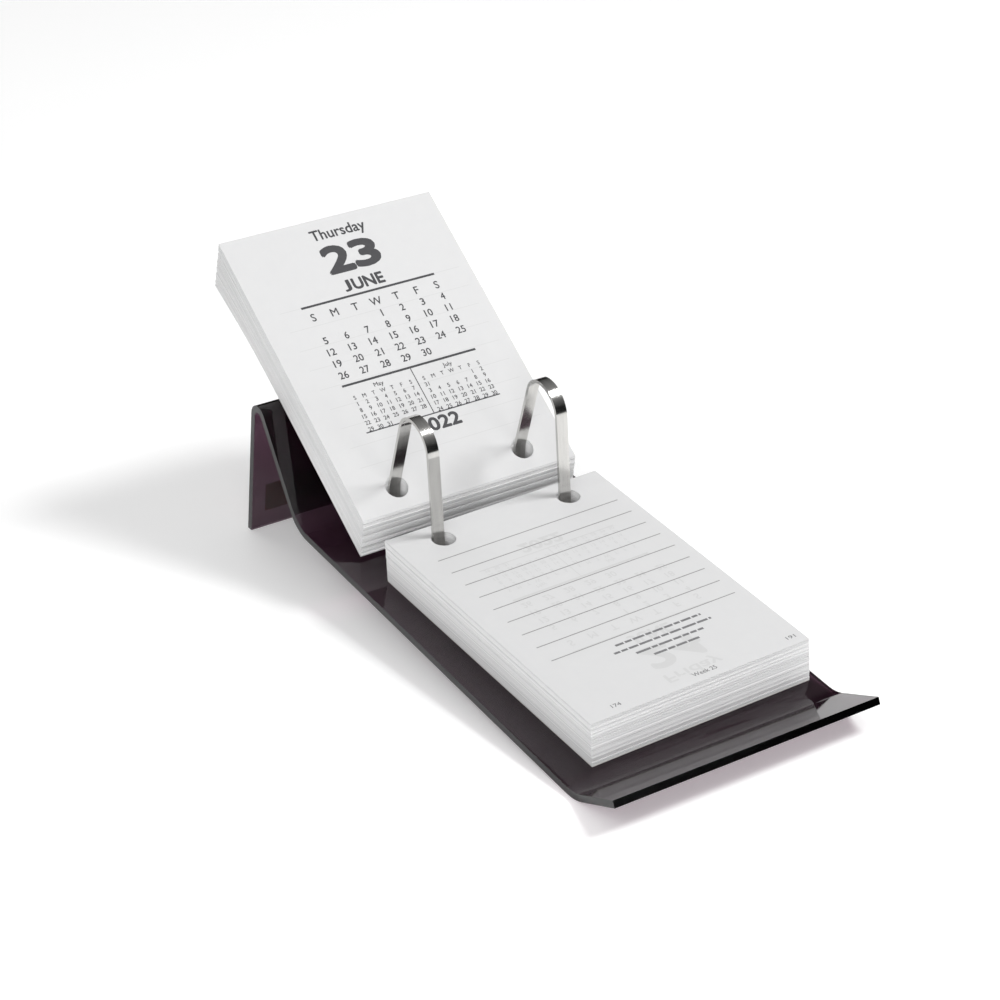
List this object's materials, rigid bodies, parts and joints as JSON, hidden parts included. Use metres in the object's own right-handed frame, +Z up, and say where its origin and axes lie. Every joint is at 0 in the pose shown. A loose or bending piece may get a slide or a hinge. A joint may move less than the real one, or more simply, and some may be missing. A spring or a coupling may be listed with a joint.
{
  "type": "flip desk calendar",
  "caption": "Flip desk calendar: punched day leaves on two flat steel ring arches, lying on the base and leaning on the crest of one bent clear smoke acrylic stand",
  "frame": {"origin": "middle of the footprint on the table", "axes": "+X across to the right as seen by the reader, +Y away from the reader towards the rear leg, +Z up"},
  "size_m": [0.0896, 0.2251, 0.0854],
  "materials": {
    "acrylic": "polished clear smoke acrylic with a faint burgundy tint",
    "ring_steel": "bright plated flat strip",
    "rivet_steel": "plain plated steel",
    "label_paper": "dark red satin paper",
    "leaf_paper": "uncoated white paper with grey print",
    "card": "uncoated grey-white card"
  },
  "bodies": {
    "stand": {"acrylic_stand": "acrylic", "left_ring": "ring_steel", "right_ring": "ring_steel", "left_rivet": "rivet_steel", "right_rivet": "rivet_steel", "label": "label_paper"},
    "front_block": {"closing_sheet": "card", "december_leaves": "leaf_paper", "november_leaves": "leaf_paper", "october_leaves": "leaf_paper", "september_leaves": "leaf_paper", "august_leaves": "leaf_paper", "july_leaves": "leaf_paper", "june_leaves_to_come": "leaf_paper", "front_leaf_margin": "leaf_paper"},
    "front_leaf_body": {"front_leaf": "leaf_paper"},
    "back_block": {"january_leaves": "leaf_paper", "february_leaves": "leaf_paper", "march_leaves": "leaf_paper", "april_leaves": "leaf_paper", "may_leaves": "leaf_paper", "june_leaves_turned": "leaf_paper", "back_leaf_margin": "leaf_paper"},
    "back_leaf_body": {"back_leaf": "leaf_paper"}
  },
  "joints": [
    {"name": "front_leaves_lift", "type": "slide", "parent": "stand", "child": "front_block", "axis": [0, 0.0819, 0.9966], "range_m": [0, 0.01]},
    {"name": "front_leaf_turn", "type": "hinge", "parent": "front_block", "child": "front_leaf_body", "pos_m": [0.00192, 0.00207, 0.02371], "axis": [-0.9998, -0.0209, -0.0019], "range_deg": [0, 100]},
    {"name": "back_leaves_lift", "type": "slide", "parent": "stand", "child": "back_block", "axis": [0, -0.0698, 0.9976], "range_m": [0, 0.006]},
    {"name": "back_leaf_turn", "type": "hinge", "parent": "back_block", "child": "back_leaf_body", "pos_m": [0.0013, 0.03828, 0.03431], "axis": [1, 0, 0], "range_deg": [0, 60]}
  ]
}
